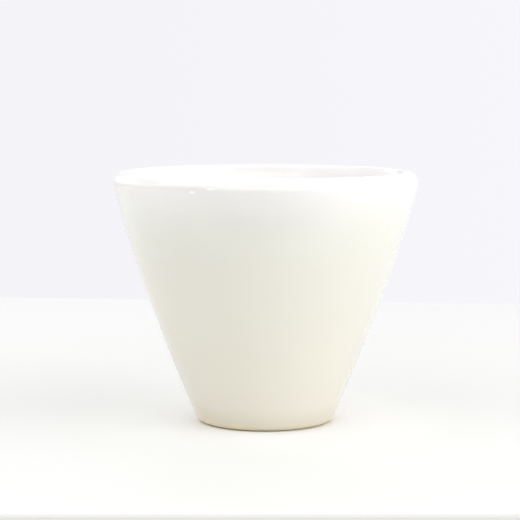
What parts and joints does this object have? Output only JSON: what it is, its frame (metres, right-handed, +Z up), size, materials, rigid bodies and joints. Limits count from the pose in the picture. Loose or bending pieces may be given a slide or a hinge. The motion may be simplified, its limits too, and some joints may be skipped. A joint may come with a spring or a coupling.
{
  "type": "pour over coffee dripper",
  "caption": "Porcelain pour-over cone with a rounded lip, inner ribs and an open drain, and a flat-bottomed steel mesh basket filter that lifts out by a folding wire bail.",
  "frame": {"origin": "centre of the foot ring, on the plane that the cone stands on", "axes": "+Z up along the cone's axis, +X towards the right-hand bail pivot, and the bail folds back towards +Y"},
  "size_m": [0.116, 0.116, 0.0954],
  "materials": {
    "porcelain": "clear gloss glaze over warm white porcelain, foot ring left unglazed",
    "steel": "satin stainless sheet",
    "steel_mesh": "fine plain-weave stainless mesh",
    "steel_wire": "polished stainless wire"
  },
  "bodies": {
    "dripper": {"dripper_cone": "porcelain"},
    "filter": {"rim_hoop": "steel", "side_mesh": "steel_mesh", "seam_strap": "steel", "side_stay_1": "steel", "side_stay_2": "steel", "side_stay_3": "steel", "side_stay_4": "steel", "base_ring": "steel", "base_mesh": "steel_mesh", "bail_lug_left": "steel", "bail_lug_right": "steel"},
    "bail": {"lift_bail": "steel_wire"}
  },
  "joints": [
    {"name": "filter_lift", "type": "slide", "parent": "dripper", "child": "filter", "axis": [0, 0, 1], "range_m": [0, 0.09]},
    {"name": "bail_swing", "type": "hinge", "parent": "filter", "child": "bail", "pos_m": [0, 0, 0.0865], "axis": [1, 0, 0], "range_deg": [0, 180]}
  ]
}
